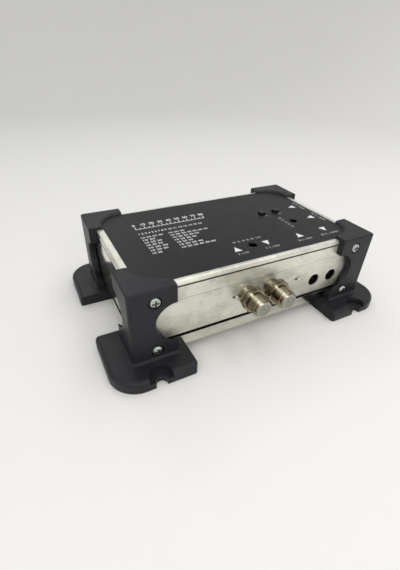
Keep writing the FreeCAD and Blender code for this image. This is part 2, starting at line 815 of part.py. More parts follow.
def board_screws():
    screws = []
    for x, y in post_places:
        shank = rod(post_screw_radius, board_top - box_bottom, vec(x, y, box_bottom))
        head = rod(post_head_radius, post_head_height, vec(x, y, board_top))
        top = board_top + post_head_height
        head = head.makeFillet(post_head_round, edges_at(head, lambda p: near(p.z, top)))
        slot = block(x - post_head_radius, x + post_head_radius, y - driver_slot_width / 2,
                     y + driver_slot_width / 2, top - driver_slot_depth, top + over)
        screws.append(shank.fuse(head).removeSplitter().cut(slot))
    return group(screws)


def control_board():
    return block(*top_board_x, *top_board_y, top_board_bottom, top_board_top)


def board_pillars():
    """Four moulded pillars that carry the control board on the main board."""
    pillars = []
    for x in (top_board_x[0] + pillar_inset, top_board_x[1] - pillar_inset):
        for y in (top_board_y[0] + pillar_inset, top_board_y[1] - pillar_inset):
            pillars.append(rod(pillar_radius, top_board_gap, vec(x, y, board_top)))
    return group(pillars)


def header_pins():
    """The row of pins that joins the control board to the main board."""
    half = header_pin_width / 2
    x = top_board_x[0] + pillar_inset
    middle = (top_board_y[0] + top_board_y[1]) / 2
    pins = []
    for index in range(header_pin_count):
        y = middle + (index - (header_pin_count - 1) / 2) * header_pitch
        pins.append(block(x - half, x + half, y - half, y + half, board_top, top_board_bottom))
    return group(pins)


# Push buttons and their switches

def button_heights():
    """Heights of the stem's foot, collar top and cap, from the switch and the label."""
    cap_top = label_top + button_proud
    collar_bottom = top_board_top + dome_rise + stop_gap + button_travel
    return cap_top, collar_bottom, collar_bottom + button_collar_thick


def push_button(x):
    cap_top, collar_bottom, collar_top = button_heights()
    cap_bottom = cap_top - button_cap_thick
    stem = rod(button_stem_radius, cap_bottom - collar_bottom, vec(x, button_y, collar_bottom))
    collar = rod(button_collar_radius, collar_top - collar_bottom, vec(x, button_y, collar_bottom))
    cap = rod(button_cap_radius, button_cap_thick, vec(x, button_y, cap_bottom))
    cap = cap.makeFillet(button_cap_round, edges_at(cap, lambda p: near(p.z, cap_top)))
    return stem.fuse(collar).fuse(cap).removeSplitter()


def switch_housing(x):
    """A square switch body, open inside, with a guide hole for the stem."""
    _, collar_bottom, collar_top = button_heights()
    half = switch_size / 2
    top = top_board_top + switch_height
    body = block(x - half, x + half, button_y - half, button_y + half, top_board_top, top)
    chamber_top = collar_top + switch_roof_play
    chamber = rod(button_collar_radius + button_guide_play, chamber_top - top_board_top + over,
                  vec(x, button_y, top_board_top - over))
    guide = rod(button_stem_radius + button_guide_play, switch_height + 2 * over,
                vec(x, button_y, top_board_top - over))
    return body.cut([chamber, guide])


def switch_domes():
    """The sprung contact under each stem, lying on the control board."""
    base = top_board_top
    domes = []
    for x in button_x:
        radius = button_collar_radius
        ball = (radius ** 2 + dome_rise ** 2) / (2 * dome_rise)
        cap = Part.makeSphere(ball, vec(x, button_y, base + dome_rise - ball))
        domes.append(cap.common(rod(radius, dome_rise + over, vec(x, button_y, base))))
    return group(domes)


# Trimmers

def trimmer_housing(place, base):
    x, y = behind_front(place)
    half = trimmer_size / 2
    body = block(x - half, x + half, y - half, y + half, base, base + trimmer_height)
    body = body.makeChamfer(trimmer_chamfer, edges_at(body, lambda p: near(p.z, base + trimmer_height)))
    seat = rod(rotor_radius + rotor_play, rotor_sink + over, vec(x, y, base + trimmer_height - rotor_sink))
    pivot = rod(rotor_pivot_radius + rotor_play, trimmer_height, vec(x, y, base + trimmer_floor))
    return body.cut([seat, pivot])


def trimmer_rotor(place, base):
    x, y = behind_front(place)
    bottom = base + trimmer_height - rotor_sink + rotor_seat_play
    top = bottom + rotor_head_height
    head = rod(rotor_radius, rotor_head_height, vec(x, y, bottom))
    head = head.makeFillet(rotor_round, edges_at(head, lambda p: near(p.z, top)))
    pivot_bottom = base + trimmer_floor + rotor_floor_play
    pivot = rod(rotor_pivot_radius, bottom - pivot_bottom, vec(x, y, pivot_bottom))
    slot = block(x - rotor_slot_width / 2, x + rotor_slot_width / 2, y - rotor_radius, y + rotor_radius,
                 top - rotor_slot_depth, top + over)
    return head.fuse(pivot).removeSplitter().cut(slot)


# Radio section's shield

def rf_shield():
    """A fence of tinned sheet round the radio section, with a tab at each end through the front sheet."""
    top = frame_top - shield_top_play
    front = -frame_y + frame_sheet
    back = shield_depth - half_y
    half = shield_sheet / 2
    left, right = shield_x
    walls = [block(x - half, x + half, front, back, board_top, top) for x in shield_x]
    walls.append(block(left - half, right + half, back - shield_sheet, back, board_top, top))
    low, high = tab_height - tab_rise / 2, tab_height + tab_rise / 2
    for x in shield_x:
        walls.append(block(x - half, x + half, -frame_y - shield_sheet, front, low, high))
        walls.append(block(x - half, x + half + tab_fold, -frame_y - shield_sheet, -frame_y, low, high))
    return joined(walls)


# Parts on the main board

def modulator_chip():
    length, width, height = chip_size
    x, y = behind_front(chip_place)
    body = block(x - length / 2, x + length / 2, y - width / 2, y + width / 2,
                 board_top + chip_lift, board_top + height)
    half = chip_leg_width / 2
    legs = []
    for index in range(chip_leg_count):
        offset = (index - (chip_leg_count - 1) / 2) * chip_leg_pitch
        reach_x, reach_y = length / 2 + chip_leg_reach, width / 2 + chip_leg_reach
        legs.append(block(x + offset - half, x + offset + half, y - reach_y, y + reach_y, board_top,
                          board_top + chip_leg_thick))
        legs.append(block(x - reach_x, x + reach_x, y + offset - half, y + offset + half, board_top,
                          board_top + chip_leg_thick))
    return joined([body] + legs)


def control_chip():
    """The channel chip, lying on the control board."""
    length, width, height = control_chip_size
    x = top_board_x[0] + control_chip_inset[0]
    y = top_board_y[0] + control_chip_inset[1]
    return block(x - length / 2, x + length / 2, y - width / 2, y + width / 2,
                 top_board_top, top_board_top + height)


def crystal():
    length, width, height = crystal_size
    x, y = behind_front(crystal_place)
    side = width / 2 - skim
    return rounded_block(x - length / 2, x + length / 2, y - width / 2, y + width / 2, board_top,
                         board_top + height, (side,) * 4)


def filter_capacitors():
    cans = []
    places = [behind_front(place) for place in front_cans] + [before_back(place) for place in back_cans]
    for x, y in places:
        can = rod(can_radius, can_height, vec(x, y, board_top))
        crimp = tube(can_radius + over, can_radius - can_crimp_depth, can_crimp_width,
                     vec(x, y, board_top + can_crimp_height))
        can = can.makeFillet(can_round, edges_at(can, lambda p: near(p.z, board_top + can_height)))
        cans.append(can.cut(crimp))
    return group(cans)


def power_choke():
    """A wound drum core standing on its end."""
    core = rod(choke_radius, choke_height, vec(*behind_front(choke_place), board_top))
    return core.cut(choke_room(choke_radius + over))


def choke_room(outer_radius):
    """The room between the core's flanges, out to the given radius."""
    base = vec(*behind_front(choke_place), board_top + choke_flange)
    return tube(outer_radius, choke_radius - choke_wind_depth, choke_height - 2 * choke_flange, base)


def choke_winding():
    """The wire between the core's flanges: a drum of inner layers with the outer turns on it."""
    x, y = behind_front(choke_place)
    turns = int((choke_height - 2 * choke_flange) / choke_wire)
    drum_radius = choke_radius - choke_wind_depth / 2
    rings = []
    for index in range(turns):
        z = board_top + choke_flange + choke_wire * (index + 0.5)
        rings.append(Part.makeTorus(drum_radius, choke_wire / 2 - skim, vec(x, y, z)))
    return joined([choke_room(drum_radius)] + rings)


def heat_sink():
    x, y = before_back(heat_sink_place)
    half = heat_sink_length / 2
    top = board_top + heat_sink_height
    face = y + heat_sink_base
    fins = [block(x - half, x + half, y, face, board_top, top)]
    pitch = (heat_sink_length - heat_sink_fin_thick) / (heat_sink_fins - 1)
    for index in range(heat_sink_fins):
        fin_x = x - half + index * pitch
        fins.append(block(fin_x, fin_x + heat_sink_fin_thick, face, face + heat_sink_fin_depth,
                          board_top, top))
    hole = rod(post_screw_radius, heat_sink_base + 2 * over,
               vec(x, y - over, regulator_screw_height()), y_dir)
    return joined(fins).cut(hole)


def regulator_screw_height():
    return board_top + regulator_leg_length + regulator_body[2] + regulator_tab_height / 2


def regulator():
    """A tabbed regulator standing on its legs against the heat sink."""
    width, depth, height = regulator_body
    x, y = before_back(heat_sink_place)
    bottom = board_top + regulator_leg_length
    top = bottom + height
    body = block(x - width / 2, x + width / 2, y - depth, y, bottom, top)
    tab = block(x - width / 2, x + width / 2, y - regulator_tab_thick, y, top, top + regulator_tab_height)
    half = regulator_leg_width / 2
    leg_y = y - regulator_leg_setback
    legs = []
    for leg_x in (x - regulator_leg_pitch, x, x + regulator_leg_pitch):
        legs.append(block(leg_x - half, leg_x + half, leg_y - regulator_leg_thick, leg_y, board_top, bottom))
    hole = rod(post_screw_radius, depth + 2 * over,
               vec(x, y - depth - over, regulator_screw_height()), y_dir)
    return joined([body, tab] + legs).cut(hole)


def regulator_screw():
    x, y = before_back(heat_sink_place)
    z = regulator_screw_height()
    head_y = y - regulator_tab_thick
    head = rod(post_head_radius, post_head_height, vec(x, head_y, z), -y_dir)
    shank = rod(post_screw_radius, regulator_tab_thick + heat_sink_base, vec(x, head_y, z), y_dir)
    return head.fuse(shank).removeSplitter()


def write(parts):
    os.makedirs("parts", exist_ok=True)
    for name, shape in parts.items():
        if not shape.isValid():
            print("not valid:", name)
        shape.exportStep(os.path.join("parts", name + ".step"))
    print(len(parts), "parts")


def build():
    parts = {
        "lid": lid(),
        "label_panel": label_panel(),
        "side_frame": side_frame(),
        "bottom_cover": bottom_cover(),
        "rf_shield": rf_shield(),
        "bracket_screws_front": bracket_screws(-1),
        "bracket_screws_back": bracket_screws(1),
        "main_board": main_board(),
        "board_posts": board_posts(),
        "board_screws": board_screws(),
        "control_board": control_board(),
        "board_pillars": board_pillars(),
        "header_pins": header_pins(),
        "switch_domes": switch_domes(),
        "level_trimmer_body": trimmer_housing(level_trimmer, board_top),
        "level_trimmer_rotor": trimmer_rotor(level_trimmer, board_top),
        "picture_trimmer_body": trimmer_housing(picture_trimmer, top_board_top),
        "picture_trimmer_rotor": trimmer_rotor(picture_trimmer, top_board_top),
        "modulator_chip": modulator_chip(),
        "control_chip": control_chip(),
        "crystal": crystal(),
        "filter_capacitors": filter_capacitors(),
        "power_choke": power_choke(),
        "choke_winding": choke_winding(),
        "heat_sink": heat_sink(),
        "regulator": regulator(),
        "regulator_screw": regulator_screw(),
    }
    corner = bracket()
    for side_y, depth_name in ((-1, "front"), (1, "back")):
        for side_x, side_name in ((-1, "left"), (1, "right")):
            parts["bracket_" + depth_name + "_" + side_name] = to_corner(corner, side_x, side_y)
    for name, x in zip(("rf_in", "rf_out"), aerial_x):
        parts[name + "_barrel"] = aerial_barrel(x)
        parts[name + "_washer"] = aerial_washer(x)
        parts[name + "_nut"] = aerial_nut(x)
        parts[name + "_insulator"] = aerial_insulator(x)
        parts[name + "_contact"] = aerial_contact(x)
    for name, x in zip(("dc_in", "dc_out"), power_x):
        parts[name + "_socket"] = power_block(x)
        parts[name + "_pin"] = power_pin(x)
        parts[name + "_spring"] = power_spring(x)
    for name, y in zip(("video", "audio"), phono_y):
        parts[name + "_shell"] = phono_shell(y)
        parts[name + "_insulator"] = phono_insulator(y)
        parts[name + "_contact"] = phono_contact(y)
    for name, x in zip(("channel_down", "channel_up"), button_x):
        parts[name + "_button"] = push_button(x)
        parts[name + "_switch"] = switch_housing(x)
    return parts


write(build())
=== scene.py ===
import json
import math

import bmesh
import bpy
from mathutils import Matrix, Vector


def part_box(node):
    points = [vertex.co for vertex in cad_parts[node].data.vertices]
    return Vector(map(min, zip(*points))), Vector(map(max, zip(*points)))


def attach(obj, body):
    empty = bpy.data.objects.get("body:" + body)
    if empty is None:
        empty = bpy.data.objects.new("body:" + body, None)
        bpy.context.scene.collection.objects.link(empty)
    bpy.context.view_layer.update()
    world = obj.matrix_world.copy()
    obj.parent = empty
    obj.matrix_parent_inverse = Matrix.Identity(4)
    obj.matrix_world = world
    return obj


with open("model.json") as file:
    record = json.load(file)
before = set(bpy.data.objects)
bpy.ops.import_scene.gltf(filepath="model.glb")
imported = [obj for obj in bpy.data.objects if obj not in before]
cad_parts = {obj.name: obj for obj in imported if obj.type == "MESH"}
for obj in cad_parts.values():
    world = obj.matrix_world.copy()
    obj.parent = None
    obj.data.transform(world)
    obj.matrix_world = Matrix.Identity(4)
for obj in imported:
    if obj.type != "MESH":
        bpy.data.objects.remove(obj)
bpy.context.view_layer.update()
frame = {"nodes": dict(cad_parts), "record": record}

# Looks of an rf modulator: materials, print on the label, threads and worked edges, a round studio sweep,
# light and camera. Lengths are in metres; mm turns millimetres into metres.

mm = 0.001
nodes = frame["nodes"]

# Camera
camera_place = (-89.0356 * mm, -141.05 * mm, 118.535 * mm)
camera_yaw = -0.494318
camera_pitch = -0.610340
camera_roll = 0.038822
focal_pixels = 340.668
frame_height_pixels = 570
sensor_width = 36.0
nearest_seen = 5 * mm

# Print on the label: places and sizes in millimetres, from the middle of the box
label_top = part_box("label_panel")[1].z
ink_thick = 0.02 * mm
arrow_base = 3.9
arrow_height = 4.2
arrow_tips = (               # tip, and the direction in which it points
    ((-7.4, -22.4), (0, 1)),
    ((9.9, -26.9), (0, -1)),
    ((30.0, -22.4), (0, 1)),
    ((47.4, -26.4), (0, -1)),
    ((49.1, -9.4), (-1, 0)),
    ((48.7, 6.8), (-1, 0)),
)

# Figures on the label
figure_cap = 0.729           # height of a figure of size 1 in the built-in font
figure_weight = 0.02         # how far a figure's outline is swollen, as a share of its height
figure_steps = 3             # steps in each curve of a figure
small_figures = 1.45         # heights of the three sizes of figures
line_figures = 1.7
scale_figures = 2.6
line_start, line_height, line_length = -44.7, 7.4, 35.5
number_room = 3.0            # room that a number and the space after it take in the table
table_columns = (-45.0, -30.5)
table_top = 3.2
table_pitch = 2.72
table_lengths = ((11.8, 9.1), (6.7, 21.1), (9.1, 14.8), (8.5, 12.1), (10.0, 8.8), (9.1, 12.9), (5.0, 18.5))

# Measuring rule on the label
rule_start, rule_end, rule_height = -43.8, -4.8, 13.6
rule_steps = 8
rule_line = 0.45             # thickness of its line, and of the signs at the buttons
rule_overhang = 0.5          # what its line is longer than the ticks' span
tick_width = 0.42
tall_tick, short_tick = 2.6, 1.5
figures_above = 3.6          # from the line to the figures' feet
digit_room = 1.45            # length of each digit

# Case
end_face_start = 61.9 * mm   # the box's end faces lie beyond this distance from its middle
# Heights of the bands of painted shade on the tin: the lid's groove, the seam under the lid and the slit
# above the tray
groove_low, groove_high = 38.25 * mm, 38.92 * mm
seam_low, seam_high = 31.62 * mm, 31.9 * mm
slit_low, slit_high = 10.99 * mm, 12.35 * mm
hole_pieces = ("channel_down_button", "channel_up_button", "level_trimmer_rotor", "picture_trimmer_rotor")
hole_shade = 2.6 * mm        # the lid is dark this near the axis of a hole

# Bracket screws
screw_side = 54.7 * mm       # from the middle of the box
screw_middle = 23.15 * mm    # height halfway between the upper and the lower screws
screw_rise = 13.05 * mm      # from there to either
cross_reach = 1.62 * mm
cross_start = 0.35 * mm      # depth below the head's top where the painted shade in the recess starts

# Aerial sockets
aerials = {"rf_in": -8.4 * mm, "rf_out": 5.4 * mm}
aerial_height = 24.8 * mm
thread_start, thread_end = -45.3 * mm, -49.9 * mm
thread_pitch = 0.794 * mm
thread_root = 4.71 * mm
thread_depth = 0.03 * mm
thread_inside = 4.6 * mm
thread_facets = 72           # round the thread
thread_rows = 10             # in each turn
socket_joints = (-41.0 * mm, -42.6 * mm, -43.3 * mm)
joint_shade = 0.06 * mm       # half the width of the painted shade in a joint
nose_face = -51.8 * mm
face_ring = ((2.80, -51.76), (2.80, -51.93), (2.88, -51.98), (3.66, -51.98), (3.76, -51.90), (3.72, -51.76))
entry_ring = ((0.34, -51.70), (0.34, -51.78), (0.40, -51.81), (1.02, -51.81), (1.12, -51.76), (1.12, -51.70))
ring_facets = 64

# Worked edges on the aerial sockets
edge_width = 0.12 * mm
edge_segments = 3
edge_angle = math.radians(32)
flat_angle = math.radians(0.3)
weld_distance = 0.001 * mm

# Soldered ends of the shield, where they come through the front sheet
tab_ends = (-13.45 * mm, 23.25 * mm)
tab_height = 24.1 * mm
tab_face = -38.0 * mm
bead_size = (0.95 * mm, 0.55 * mm, 0.66 * mm)

# Studio
flat_radius = 0.60
flat_shares = (0.3, 0.6, 0.9, 1.0)
bend_radius = 0.50
bend_steps = 16
wall_height = 0.80
sweep_facets = 96
dome_front, dome_back = 0.45, 1.10
lamp_aim = (0, 0, 0.02)
lamps = (                    # name, place, two sizes, watts, colour
    ("key", (-0.46, -0.62, 0.80), (0.9, 0.7), 2.6, (1.0, 0.99, 0.97)),
    ("front", (0.15, -0.90, 0.60), (0.35, 0.2), 1.0, (1.0, 0.99, 0.97)),
    ("back", (0.0, 0.80, 0.74), (0.20, 0.12), 0.6, (1.0, 1.0, 1.0)),
    ("overhead", (0.45, -0.10, 1.00), (1.1, 0.3), 2.4, (1.0, 0.995, 0.985)),
)


# Tones

def tone(red, green, blue):
    return (red, green, blue, 1.0)


tin_bright, tin_dull = tone(0.76, 0.76, 0.665), tone(0.66, 0.66, 0.575)
tin_stain = tone(0.37, 0.36, 0.30)
tin_spot = tone(0.45, 0.45, 0.4)
tin_scratch = tone(0.30, 0.29, 0.26)
# Painted shade in the tin's groove, slit and seam, and round the lid's holes
gap_painted_shade = tone(0.010, 0.009, 0.008)
film_dark, film_light = tone(0.0035, 0.0040, 0.0054), tone(0.0055, 0.0060, 0.0078)
nickel_bright, nickel_dull = tone(0.36, 0.315, 0.228), tone(0.215, 0.18, 0.126)
nickel_nose = tone(0.39, 0.365, 0.30)
# Painted shade in the joints round the aerial sockets' washer and nut
nickel_joint_shade = tone(0.05, 0.04, 0.03)
zinc_bright, zinc_dull = tone(0.52, 0.55, 0.53), tone(0.30, 0.33, 0.31)
# Painted shade in the screws' cross recesses
zinc_recess_shade = tone(0.15, 0.17, 0.16)
board_track, board_resist = tone(0.07, 0.30, 0.14), tone(0.035, 0.17, 0.075)
# The far tone is painted shade, greying the sweep towards the back
sweep_near, sweep_far = tone(0.81, 0.80, 0.785), tone(0.68, 0.675, 0.66)
sky = tone(0.98, 0.99, 1.0)

# Painted highlight and painted shade in streaks along the aerial sockets, measured across each in one
# slanting direction: the first and last streaks are painted shade, the middle one a painted highlight
streak_turn = (-0.66, -0.75)
streak_edge = 0.6 * mm
painted_streaks = (                  # from, to, strength, shade
    (0.3 * mm, 2.6 * mm, 0.75, tone(0.13, 0.105, 0.070)),
    (-1.8 * mm, -1.2 * mm, 0.60, tone(0.92, 0.86, 0.68)),
    (-4.2 * mm, -2.9 * mm, 0.65, tone(0.16, 0.13, 0.088)),
)

# Moulded slots: darker tone, lighter tone, roughness, and the specular level where it isn't the usual one
moulded_slots = {
    "bracket_plastic": (tone(0.0132, 0.0126, 0.0158), tone(0.0182, 0.0174, 0.0214), 0.40, 0.23),
    "socket_insulator": (tone(0.205, 0.203, 0.18), tone(0.25, 0.248, 0.22), 0.42),
    # The power jacks' plastic is black, and darkened further as painted shade inside their holes
    "power_plastic": (tone(0.003, 0.0025, 0.0025), tone(0.005, 0.0045, 0.0045), 0.5, 0.25),
    "video_plastic": (tone(0.76, 0.52, 0.02), tone(0.82, 0.58, 0.03), 0.33),
    "audio_plastic": (tone(0.74, 0.74, 0.71), tone(0.80, 0.80, 0.77), 0.33),
    "pillar_nylon": (tone(0.66, 0.64, 0.57), tone(0.72, 0.70, 0.63), 0.45),
    "button_plastic": (tone(0.005, 0.005, 0.006), tone(0.008, 0.008, 0.009), 0.42),
    "switch_plastic": (tone(0.02, 0.02, 0.022), tone(0.03, 0.03, 0.033), 0.45),
    "trimmer_plastic": (tone(0.02, 0.07, 0.36), tone(0.03, 0.09, 0.42), 0.35),
    "rotor_plastic": (tone(0.020, 0.019, 0.018), tone(0.030, 0.028, 0.026), 0.45),
    "chip_epoxy": (tone(0.016, 0.016, 0.017), tone(0.024, 0.024, 0.026), 0.55),
    "ferrite": (tone(0.035, 0.034, 0.033), tone(0.05, 0.048, 0.046), 0.6),
    "heat_sink_black": (tone(0.012, 0.012, 0.013), tone(0.02, 0.02, 0.021), 0.45),
}

# Plated slots: brighter tone, duller tone, roughness, and the scale of the wear where it isn't the usual one
plated_slots = {
    "contact_metal": (tone(0.83, 0.69, 0.36), tone(0.70, 0.55, 0.26), 0.18),
    "can_aluminium": (tone(0.80, 0.80, 0.81), tone(0.66, 0.66, 0.67), 0.25),
    "copper_winding": (tone(0.78, 0.33, 0.12), tone(0.60, 0.22, 0.07), 0.24, 900),
}


# Node trees

class Graph:
    """A node tree, with short ways to add and join nodes."""

    def __init__(self, tree, coordinates):
        self.tree = tree
        self.place = self.add("ShaderNodeTexCoord").outputs[coordinates]

    def add(self, kind, **settings):
        node = self.tree.nodes.new(kind)
        for key, value in settings.items():
            setattr(node, key, value)
        return node

    def feed(self, target, source):
        """Links a socket, or sets a constant."""
        if isinstance(source, bpy.types.NodeSocket):
            self.tree.links.new(source, target)
        else:
            target.default_value = source

    def math(self, operation, first, second=0.0):
        node = self.add("ShaderNodeMath", operation=operation)
        self.feed(node.inputs[0], first)
        self.feed(node.inputs[1], second)
        return node.outputs[0]

    def plus(self, first, second):
        return self.math("ADD", first, second)

    def minus(self, first, second):
        return self.math("SUBTRACT", first, second)

    def times(self, first, second):
        return self.math("MULTIPLY", first, second)

    def larger(self, first, second):
        return self.math("MAXIMUM", first, second)

    def unsigned(self, value):
        return self.math("ABSOLUTE", value)

    def stretch(self, scale):
        """The place, scaled along each axis."""
        node = self.add("ShaderNodeMapping")
        self.feed(node.inputs["Vector"], self.place)
        node.inputs["Scale"].default_value = scale
        return node.outputs["Vector"]

    def along(self, axis):
        """The place along X, Y or Z."""
        node = self.add("ShaderNodeSeparateXYZ")
        self.feed(node.inputs[0], self.place)
        return node.outputs[axis]

    def ramp(self, value, low, high, out_low=0.0, out_high=1.0):
        """Maps low..high to out_low..out_high, held at both ends."""
        node = self.add("ShaderNodeMapRange", clamp=True)
        limits = {"From Min": low, "From Max": high, "To Min": out_low, "To Max": out_high}
        for socket, number in limits.items():
            node.inputs[socket].default_value = number
        self.feed(node.inputs["Value"], value)
        return node.outputs["Result"]

    def window(self, value, low, high, edge):
        """1 between two values, with soft edges."""
        up = self.ramp(value, low - edge, low)
        down = self.ramp(value, high, high + edge, 1.0, 0.0)
        return self.times(up, down)

    def band(self, axis, low, high, edge):
        """1 between two places along an axis, with soft edges."""
        return self.window(self.along(axis), low, high, edge)

    def near_axis(self, x, y, radius):
        """1 within a distance of a vertical axis."""
        across = self.minus(self.along("X"), x)
        back = self.minus(self.along("Y"), y)
        square = self.plus(self.times(across, across), self.times(back, back))
        return self.ramp(square, radius ** 2, 1.1 * radius ** 2, 1.0, 0.0)

    def noise(self, scale, detail=4.0, roughness=0.5, vector=None):
        node = self.add("ShaderNodeTexNoise")
        self.feed(node.inputs["Vector"], vector or self.place)
        node.inputs["Scale"].default_value = scale
        node.inputs["Detail"].default_value = detail
        node.inputs["Roughness"].default_value = roughness
        return node.outputs["Fac"]

    def cell_borders(self, scale):
        """The distance to the nearest border in a pattern of cells."""
        node = self.add("ShaderNodeTexVoronoi", feature="DISTANCE_TO_EDGE")
        self.feed(node.inputs["Vector"], self.place)
        node.inputs["Scale"].default_value = scale
        return node.outputs["Distance"]

    def hairlines(self, scale, width, share):
        """Thin broken scratches: the level lines of a smooth noise, kept only in patches."""
        level = self.unsigned(self.minus(self.noise(scale, detail=0.0), 0.5))
        line = self.ramp(level, 0.0, width, 1.0, 0.0)
        patches = self.noise(scale * 0.9, detail=2.0, vector=self.stretch((1.3, 1.1, 0.7)))
        return self.times(line, self.ramp(patches, 1 - share, 1.02 - share))

    def mix(self, share, first, second):
        """Mixes two colours: the mix node's colours are its inputs 6 and 7, and its output 2."""
        node = self.add("ShaderNodeMix", data_type="RGBA")
        self.feed(node.inputs[0], share)
        self.feed(node.inputs[6], first)
        self.feed(node.inputs[7], second)
        return node.outputs[2]


class Look(Graph):
    """A new material, made of one principled shader and what feeds it."""

    def __init__(self, name, **constants):
        self.material = bpy.data.materials.new(name)
        self.material.use_nodes = True
        super().__init__(self.material.node_tree, "Object")
        self.shader = self.tree.nodes["Principled BSDF"]
        for socket, value in constants.items():
            self.shader.inputs[socket.replace("_", " ")].default_value = value

    def colour(self, source):
        self.feed(self.shader.inputs["Base Color"], source)

    def metal(self, source):
        self.feed(self.shader.inputs["Metallic"], source)

    def roughness(self, source):
        self.feed(self.shader.inputs["Roughness"], source)

    def bump(self, height, depth):
        node = self.add("ShaderNodeBump")
        node.inputs["Distance"].default_value = depth
        node.inputs["Strength"].default_value = 1.0
        self.feed(node.inputs["Height"], height)
        self.feed(self.shader.inputs["Normal"], node.outputs["Normal"])

    def rub(self, depth):
        """The finest wear of a plated metal."""
        self.bump(self.noise(2600, detail=3, roughness=0.6), depth)


# Materials

def tin_colour(look, clouds, spots):
    """Cloudy tin with stains, small spots and hairline scratches."""
    blots = look.noise(30, detail=6, roughness=0.72, vector=look.stretch((1.0, 1.0, 1.6)))
    stain = look.ramp(blots, 0.46, 0.64)
    hairs = look.hairlines(95, width=0.006, share=0.47)
    plain = look.mix(look.ramp(clouds, 0.35, 0.7), tin_bright, tin_dull)
    stained = look.mix(look.times(stain, 0.75), plain, tin_stain)
    spotted = look.mix(look.times(look.ramp(spots, 0.62, 0.8), 0.3), stained, tin_spot)
    return look.mix(look.times(hairs, 0.5), spotted, tin_scratch)


def tin_dirt(look, clouds):
    """Painted shade in the groove, the slit and the seam, and in the walls of the lid's small holes."""
    groove = look.band("Z", groove_low, groove_high, 0.10 * mm)
    slit = look.band("Z", slit_low, slit_high, 0.02 * mm)
    seam = look.times(look.band("Z", seam_low, seam_high, 0.06 * mm), look.ramp(clouds, 0.4, 0.6, 0.3, 1.0))
    painted_shade = look.larger(look.larger(groove, slit), seam)
    for name in hole_pieces:
        low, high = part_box(name)
        hole = look.near_axis((low.x + high.x) / 2, (low.y + high.y) / 2, hole_shade)
        painted_shade = look.larger(painted_shade, hole)
    return painted_shade


def tin_handled(look):
    """1 where the tin is handled and dull, 0 on the smooth end faces and the smooth tray."""
    end_face = look.ramp(look.unsigned(look.along("X")), end_face_start, end_face_start + 0.3 * mm)
    tray = look.ramp(look.along("Z"), slit_low - 0.2 * mm, slit_low, 1.0, 0.0)
    return look.minus(1.0, look.larger(end_face, tray))


def tinned_steel():
    """Tin plate: cloudy stains, a fine rolled grain, hairline scratches, and painted shade, dark and not
    metallic, in every gap.
    """
    look = Look("tinned_steel")
    clouds = look.noise(42, detail=5, roughness=0.6)
    spots = look.noise(330, detail=3, roughness=0.6)
    grain = look.noise(160, detail=3, roughness=0.55, vector=look.stretch((1.0, 1.0, 22.0)))
    painted_shade = tin_dirt(look, clouds)
    handled = tin_handled(look)
    # Painted shade darkens the gaps and takes away their metal sheen
    look.colour(look.mix(painted_shade, tin_colour(look, clouds, spots), gap_painted_shade))
    look.metal(look.times(look.ramp(handled, 0.0, 1.0, 1.0, 0.62), look.minus(1.0, painted_shade)))
    dull = look.plus(look.ramp(clouds, 0.3, 0.7, 0.32, 0.40), look.ramp(grain, 0.3, 0.7, -0.02, 0.04))
    smooth = look.ramp(clouds, 0.3, 0.7, 0.07, 0.11)
    worn = look.plus(look.times(dull, handled), look.times(smooth, look.minus(1.0, handled)))
    look.roughness(look.larger(worn, look.times(painted_shade, 0.7)))
    relief = look.plus(look.times(grain, 0.5), spots)
    look.bump(look.times(relief, look.plus(handled, 0.08)), depth=0.003 * mm)
    return look.material


def label_film():
    """Dark satin film with a fine orange peel and faint handling marks."""
    look = Look("label_black", Specular_IOR_Level=0.26)
    marks = look.noise(38, detail=5, roughness=0.65)
    look.colour(look.mix(look.ramp(marks, 0.3, 0.75), film_dark, film_light))
    look.roughness(look.ramp(marks, 0.3, 0.75, 0.38, 0.46))
    look.bump(look.noise(1800, detail=2, roughness=0.5), depth=0.004 * mm)
    return look.material


def moulded(name, dark, light, rough, specular=0.5):
    """Moulded plastic with a fine spark-eroded grain and slightly uneven gloss."""
    look = Look(name, Specular_IOR_Level=specular)
    cloud = look.noise(55, detail=4, roughness=0.6)
    grain = look.noise(1500, detail=3, roughness=0.6)
    look.colour(look.mix(look.ramp(cloud, 0.3, 0.75), dark, light))
    gloss = look.ramp(cloud, 0.3, 0.7, rough - 0.03, rough + 0.05)
    look.roughness(look.plus(gloss, look.ramp(grain, 0.3, 0.7, -0.04, 0.04)))
    look.bump(grain, depth=0.02 * mm)
    return look.material


def plated(name, bright, dull, rough, wear_scale=260):
    """Plated metal with faint cloudy tarnish and fine scratches."""
    look = Look(name, Metallic=1.0)
    tarnish = look.noise(wear_scale, detail=4, roughness=0.6)
    look.colour(look.mix(look.ramp(tarnish, 0.35, 0.75), bright, dull))
    look.roughness(look.ramp(tarnish, 0.3, 0.75, rough, rough + 0.12))
    look.rub(depth=0.003 * mm)
    return look.material


def streaked(look, plain):
    """Painted highlight and painted shade in streaks along the aerial sockets, in front of the case."""
    pitch = aerials["rf_out"] - aerials["rf_in"]
    start = aerials["rf_in"] - pitch / 2
    across = look.minus(look.math("MODULO", look.minus(look.along("X"), start), pitch), pitch / 2)
    rise = look.minus(look.along("Z"), aerial_height)
    side = look.plus(look.times(across, streak_turn[0]), look.times(rise, streak_turn[1]))
    on_front = look.ramp(look.along("Y"), tab_face - 0.6 * mm, tab_face, 1.0, 0.0)
    for low, high, strength, shade in painted_streaks:
        cover = look.times(look.window(side, low, high, streak_edge), strength)
        plain = look.mix(look.times(cover, on_front), plain, shade)
    return plain


